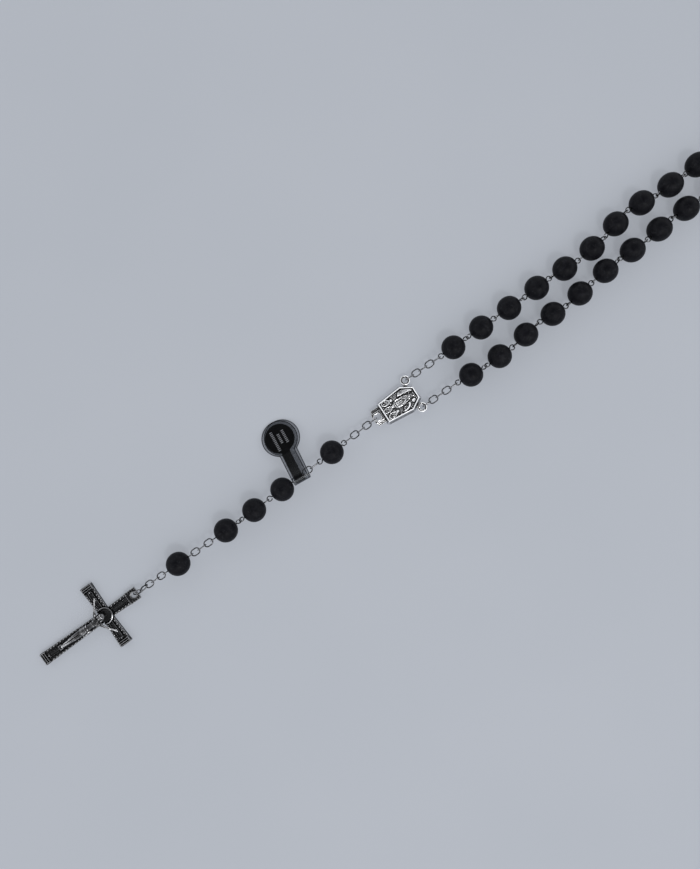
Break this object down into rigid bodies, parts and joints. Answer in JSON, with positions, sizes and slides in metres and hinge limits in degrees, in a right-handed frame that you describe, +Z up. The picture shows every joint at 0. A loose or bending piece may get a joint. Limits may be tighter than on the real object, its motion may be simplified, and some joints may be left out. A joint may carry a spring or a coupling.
{
  "type": "rosary",
  "caption": "Rosary of round black stone beads on eye pins and oval wire links, with an oxidised-silver centrepiece, a crucifix and a folded hang label.",
  "frame": {"origin": "centre of the centrepiece's back face, on the surface that the rosary lies on", "axes": "+Z up, off the surface; +Y from the crucifix towards the loop; +X towards the right-hand strand"},
  "size_m": [0.1367, 0.4518, 0.008],
  "materials": {
    "bead_stone": "soft polish, faint grey veins",
    "chain_wire": "darkened silver wire",
    "cast_silver": "oxidised cast silver, dark recesses and rubbed edges",
    "figure_silver": "oxidised cast silver, rubbed bright",
    "label_film": "clear folded film with black print"
  },
  "bodies": {
    "centrepiece": {"centrepiece": "cast_silver"},
    "upper_link_1": {"upper_link_1": "chain_wire"},
    "upper_link_2": {"upper_link_2": "chain_wire"},
    "upper_link_3": {"upper_link_3": "chain_wire"},
    "upper_link_4": {"upper_link_4": "chain_wire"},
    "upper_link_5": {"upper_link_5": "chain_wire"},
    "upper_our_father_pin": {"upper_our_father_pin": "chain_wire"},
    "upper_our_father_bead": {"upper_our_father_bead": "bead_stone"},
    "label_link_1": {"label_link_1": "chain_wire"},
    "label_link_2": {"label_link_2": "chain_wire"},
    "label_link_3": {"label_link_3": "chain_wire"},
    "label_tag": {"label_tag": "label_film"},
    "hail_mary_pin_1": {"hail_mary_pin_1": "chain_wire"},
    "hail_mary_bead_1": {"hail_mary_bead_1": "bead_stone"},
    "hail_mary_pin_2": {"hail_mary_pin_2": "chain_wire"},
    "hail_mary_bead_2": {"hail_mary_bead_2": "bead_stone"},
    "hail_mary_pin_3": {"hail_mary_pin_3": "chain_wire"},
    "hail_mary_bead_3": {"hail_mary_bead_3": "bead_stone"},
    "lower_link_1": {"lower_link_1": "chain_wire"},
    "lower_link_2": {"lower_link_2": "chain_wire"},
    "lower_link_3": {"lower_link_3": "chain_wire"},
    "lower_our_father_pin": {"lower_our_father_pin": "chain_wire"},
    "lower_our_father_bead": {"lower_our_father_bead": "bead_stone"},
    "cross_link_1": {"cross_link_1": "chain_wire"},
    "cross_link_2": {"cross_link_2": "chain_wire"},
    "cross_link_3": {"cross_link_3": "chain_wire"},
    "cross_link_4": {"cross_link_4": "chain_wire"},
    "cross_link_5": {"cross_link_5": "chain_wire"},
    "crucifix": {"crucifix": "cast_silver", "corpus": "figure_silver"},
    "left_ear_link_1": {"left_ear_link_1": "chain_wire"},
    "left_ear_link_2": {"left_ear_link_2": "chain_wire"},
    "left_ear_links_3_to_5": {"left_ear_links_3_to_5": "chain_wire"},
    "left_decade_1_near": {"left_decade_1_near_beads": "bead_stone", "left_decade_1_near_pins": "chain_wire"},
    "left_decade_1_far": {"left_decade_1_far_beads": "bead_stone", "left_decade_1_far_pins": "chain_wire"},
    "left_our_father_1": {"left_our_father_1_bead": "bead_stone", "left_our_father_1_wires": "chain_wire"},
    "left_decade_2": {"left_decade_2_beads": "bead_stone", "left_decade_2_pins": "chain_wire"},
    "left_our_father_2": {"left_our_father_2_bead": "bead_stone", "left_our_father_2_wires": "chain_wire"},
    "left_half_decade": {"left_half_decade_beads": "bead_stone", "left_half_decade_pins": "chain_wire"},
    "right_ear_link_1": {"right_ear_link_1": "chain_wire"},
    "right_ear_link_2": {"right_ear_link_2": "chain_wire"},
    "right_ear_links_3_to_5": {"right_ear_links_3_to_5": "chain_wire"},
    "right_decade_1_near": {"right_decade_1_near_beads": "bead_stone", "right_decade_1_near_pins": "chain_wire"},
    "right_decade_1_far": {"right_decade_1_far_beads": "bead_stone", "right_decade_1_far_pins": "chain_wire"},
    "right_our_father_1": {"right_our_father_1_bead": "bead_stone", "right_our_father_1_wires": "chain_wire"},
    "right_decade_2": {"right_decade_2_beads": "bead_stone", "right_decade_2_pins": "chain_wire"},
    "right_our_father_2": {"right_our_father_2_bead": "bead_stone", "right_our_father_2_wires": "chain_wire"},
    "right_half_decade": {"right_half_decade_beads": "bead_stone", "right_half_decade_pins": "chain_wire"}
  },
  "joints": [
    {"name": "upper_link_1_swing", "type": "hinge", "parent": "centrepiece", "child": "upper_link_1", "pos_m": [-0.00051, -0.00878, 0.00146], "axis": [0, 0, 1], "range_deg": [-45, 45]},
    {"name": "upper_link_2_lift", "type": "hinge", "parent": "upper_link_1", "child": "upper_link_2", "pos_m": [-0.00047, -0.01137, 0.00196], "axis": [-0.9998, -0.0175, 0], "range_deg": [0, 35]},
    {"name": "upper_link_3_swing", "type": "hinge", "parent": "upper_link_2", "child": "upper_link_3", "pos_m": [-0.00042, -0.01397, 0.00246], "axis": [0, 0, -1], "range_deg": [-45, 45]},
    {"name": "upper_link_4_swing", "type": "hinge", "parent": "upper_link_3", "child": "upper_link_4", "pos_m": [-0.00037, -0.01705, 0.00305], "axis": [0, 0, 1], "range_deg": [-45, 45]},
    {"name": "upper_link_5_lift", "type": "hinge", "parent": "upper_link_4", "child": "upper_link_5", "pos_m": [-0.00032, -0.01964, 0.00355], "axis": [0.9998, 0.0175, 0], "range_deg": [-35, 0]},
    {"name": "upper_our_father_pin_swing", "type": "hinge", "parent": "upper_link_5", "child": "upper_our_father_pin", "pos_m": [-0.00028, -0.02223, 0.00405], "axis": [0, 0, -1], "range_deg": [-45, 45]},
    {"name": "upper_our_father_bead_spin", "type": "hinge", "parent": "upper_our_father_pin", "child": "upper_our_father_bead", "pos_m": [-0.00018, -0.02767, 0.004], "axis": [0.0175, -0.9998, 0], "continuous": true},
    {"name": "label_link_1_swing", "type": "hinge", "parent": "upper_our_father_pin", "child": "label_link_1", "pos_m": [-0.00008, -0.03311, 0.004], "axis": [0, 0, 1], "range_deg": [-45, 45]},
    {"name": "label_link_2_swing", "type": "hinge", "parent": "label_link_1", "child": "label_link_2", "pos_m": [-0.00008, -0.03667, 0.004], "axis": [0, 0, -1], "range_deg": [-30, 30]},
    {"name": "label_link_3_swing", "type": "hinge", "parent": "label_link_2", "child": "label_link_3", "pos_m": [-0.00008, -0.03923, 0.004], "axis": [0, 0, 1], "range_deg": [-12, 12]},
    {"name": "label_tag_flip", "type": "hinge", "parent": "label_link_3", "child": "label_tag", "pos_m": [-0.00008, -0.04098, 0.004], "axis": [0, 1, 0], "range_deg": [0, 155]},
    {"name": "hail_mary_pin_1_swing", "type": "hinge", "parent": "label_link_3", "child": "hail_mary_pin_1", "pos_m": [-0.00008, -0.04279, 0.004], "axis": [0, 0, -1], "range_deg": [-12, 12]},
    {"name": "hail_mary_bead_1_spin", "type": "hinge", "parent": "hail_mary_pin_1", "child": "hail_mary_bead_1", "pos_m": [-0.00008, -0.04834, 0.004], "axis": [0, -1, 0], "continuous": true},
    {"name": "hail_mary_pin_2_swing", "type": "hinge", "parent": "hail_mary_pin_1", "child": "hail_mary_pin_2", "pos_m": [-0.00008, -0.0539, 0.004], "axis": [0, 0, 1], "range_deg": [-50, 50]},
    {"name": "hail_mary_bead_2_spin", "type": "hinge", "parent": "hail_mary_pin_2", "child": "hail_mary_bead_2", "pos_m": [-0.00008, -0.05995, 0.004], "axis": [0, -1, 0], "continuous": true},
    {"name": "hail_mary_pin_3_swing", "type": "hinge", "parent": "hail_mary_pin_2", "child": "hail_mary_pin_3", "pos_m": [-0.00008, -0.06576, 0.004], "axis": [0, 0, -1], "range_deg": [-20, 20]},
    {"name": "hail_mary_bead_3_spin", "type": "hinge", "parent": "hail_mary_pin_3", "child": "hail_mary_bead_3", "pos_m": [-0.00023, -0.07156, 0.004], "axis": [-0.0262, -0.9997, 0], "continuous": true},
    {"name": "lower_link_1_swing", "type": "hinge", "parent": "hail_mary_pin_3", "child": "lower_link_1", "pos_m": [-0.00039, -0.07761, 0.004], "axis": [0, 0, 1], "range_deg": [-45, 45]},
    {"name": "lower_link_2_lift", "type": "hinge", "parent": "lower_link_1", "child": "lower_link_2", "pos_m": [-0.00046, -0.08025, 0.004], "axis": [-0.9997, 0.0262, 0], "range_deg": [0, 35]},
    {"name": "lower_link_3_swing", "type": "hinge", "parent": "lower_link_2", "child": "lower_link_3", "pos_m": [-0.00053, -0.08289, 0.004], "axis": [0, 0, -1], "range_deg": [-45, 45]},
    {"name": "lower_our_father_pin_swing", "type": "hinge", "parent": "lower_link_3", "child": "lower_our_father_pin", "pos_m": [-0.00059, -0.08503, 0.004], "axis": [0, 0, 1], "range_deg": [-45, 45]},
    {"name": "lower_our_father_bead_spin", "type": "hinge", "parent": "lower_our_father_pin", "child": "lower_our_father_bead", "pos_m": [-0.00074, -0.09096, 0.004], "axis": [-0.0262, -0.9997, 0], "continuous": true},
    {"name": "cross_link_1_swing", "type": "hinge", "parent": "lower_our_father_pin", "child": "cross_link_1", "pos_m": [-0.0009, -0.0969, 0.004], "axis": [0, 0, -1], "range_deg": [-45, 45]},
    {"name": "cross_link_2_lift", "type": "hinge", "parent": "cross_link_1", "child": "cross_link_2", "pos_m": [-0.00097, -0.09948, 0.00346], "axis": [0.9997, -0.0262, 0], "range_deg": [-35, 0]},
    {"name": "cross_link_3_swing", "type": "hinge", "parent": "cross_link_2", "child": "cross_link_3", "pos_m": [-0.00103, -0.10207, 0.00296], "axis": [0, 0, 1], "range_deg": [-45, 45]},
    {"name": "cross_link_4_swing", "type": "hinge", "parent": "cross_link_3", "child": "cross_link_4", "pos_m": [-0.00109, -0.10418, 0.00255], "axis": [0, 0, -1], "range_deg": [-18, 18]},
    {"name": "cross_link_5_swing", "type": "hinge", "parent": "cross_link_4", "child": "cross_link_5", "pos_m": [-0.00116, -0.10701, 0.00201], "axis": [0, 0, 1], "range_deg": [-25, 25]},
    {"name": "crucifix_swing", "type": "hinge", "parent": "cross_link_5", "child": "crucifix", "pos_m": [-0.00124, -0.10985, 0.00146], "axis": [0, 0, -1], "range_deg": [-20, 20]},
    {"name": "left_ear_link_1_swing", "type": "hinge", "parent": "centrepiece", "child": "left_ear_link_1", "pos_m": [-0.00495, 0.00679, 0.00146], "axis": [0, 0, 1], "range_deg": [0, 40]},
    {"name": "left_ear_link_2_lift", "type": "hinge", "parent": "left_ear_link_1", "child": "left_ear_link_2", "pos_m": [-0.00482, 0.00937, 0.00196], "axis": [-0.9988, 0.0489, 0], "range_deg": [-30, 0]},
    {"name": "left_ear_links_3_to_5_swing", "type": "hinge", "parent": "left_ear_link_2", "child": "left_ear_links_3_to_5", "pos_m": [-0.0047, 0.01196, 0.00246], "axis": [0, 0, -1], "range_deg": [-35, 0]},
    {"name": "left_decade_1_near_lift", "type": "hinge", "parent": "left_ear_links_3_to_5", "child": "left_decade_1_near", "pos_m": [-0.00431, 0.01973, 0.004], "axis": [0.9998, -0.0175, 0], "range_deg": [0, 30]},
    {"name": "left_decade_1_far_swing", "type": "hinge", "parent": "left_decade_1_near", "child": "left_decade_1_far", "pos_m": [-0.0027, 0.07652, 0.004], "axis": [0, 0, 1], "range_deg": [0, 35]},
    {"name": "left_our_father_1_swing", "type": "hinge", "parent": "left_decade_1_far", "child": "left_our_father_1", "pos_m": [-0.00468, 0.13285, 0.004], "axis": [0, 0, -1], "range_deg": [-35, 0]},
    {"name": "left_decade_2_swing", "type": "hinge", "parent": "left_our_father_1", "child": "left_decade_2", "pos_m": [-0.01131, 0.15949, 0.004], "axis": [0, 0, 1], "range_deg": [0, 40]},
    {"name": "left_our_father_2_swing", "type": "hinge", "parent": "left_decade_2", "child": "left_our_father_2", "pos_m": [-0.0626, 0.252, 0.004], "axis": [0, 0, -1], "range_deg": [-40, 0]},
    {"name": "left_half_decade_swing", "type": "hinge", "parent": "left_our_father_2", "child": "left_half_decade", "pos_m": [-0.05029, 0.27661, 0.004], "axis": [0, 0, 1], "range_deg": [0, 45]},
    {"name": "right_ear_link_1_swing", "type": "hinge", "parent": "centrepiece", "child": "right_ear_link_1", "pos_m": [0.00572, 0.00613, 0.00146], "axis": [0, 0, -1], "range_deg": [0, 40]},
    {"name": "right_ear_link_2_lift", "type": "hinge", "parent": "right_ear_link_1", "child": "right_ear_link_2", "pos_m": [0.00579, 0.00872, 0.00196], "axis": [-0.9997, 0.0262, 0], "range_deg": [-30, 0]},
    {"name": "right_ear_links_3_to_5_swing", "type": "hinge", "parent": "right_ear_link_2", "child": "right_ear_links_3_to_5", "pos_m": [0.00586, 0.01132, 0.00246], "axis": [0, 0, 1], "range_deg": [-35, 0]},
    {"name": "right_decade_1_near_lift", "type": "hinge", "parent": "right_ear_links_3_to_5", "child": "right_decade_1_near", "pos_m": [0.00604, 0.01909, 0.004], "axis": [0.9945, -0.1045, 0], "range_deg": [0, 30]},
    {"name": "right_decade_1_far_swing", "type": "hinge", "parent": "right_decade_1_near", "child": "right_decade_1_far", "pos_m": [0.00589, 0.07568, 0.004], "axis": [0, 0, -1], "range_deg": [0, 35]},
    {"name": "right_our_father_1_swing", "type": "hinge", "parent": "right_decade_1_far", "child": "right_our_father_1", "pos_m": [0.00507, 0.13244, 0.004], "axis": [0, 0, 1], "range_deg": [-35, 0]},
    {"name": "right_decade_2_swing", "type": "hinge", "parent": "right_our_father_1", "child": "right_decade_2", "pos_m": [0.01178, 0.15905, 0.004], "axis": [0, 0, -1], "range_deg": [0, 40]},
    {"name": "right_our_father_2_swing", "type": "hinge", "parent": "right_decade_2", "child": "right_our_father_2", "pos_m": [0.06278, 0.25159, 0.004], "axis": [0, 0, 1], "range_deg": [-40, 0]},
    {"name": "right_half_decade_swing", "type": "hinge", "parent": "right_our_father_2", "child": "right_half_decade", "pos_m": [0.05038, 0.27614, 0.004], "axis": [0, 0, -1], "range_deg": [0, 45]}
  ]
}
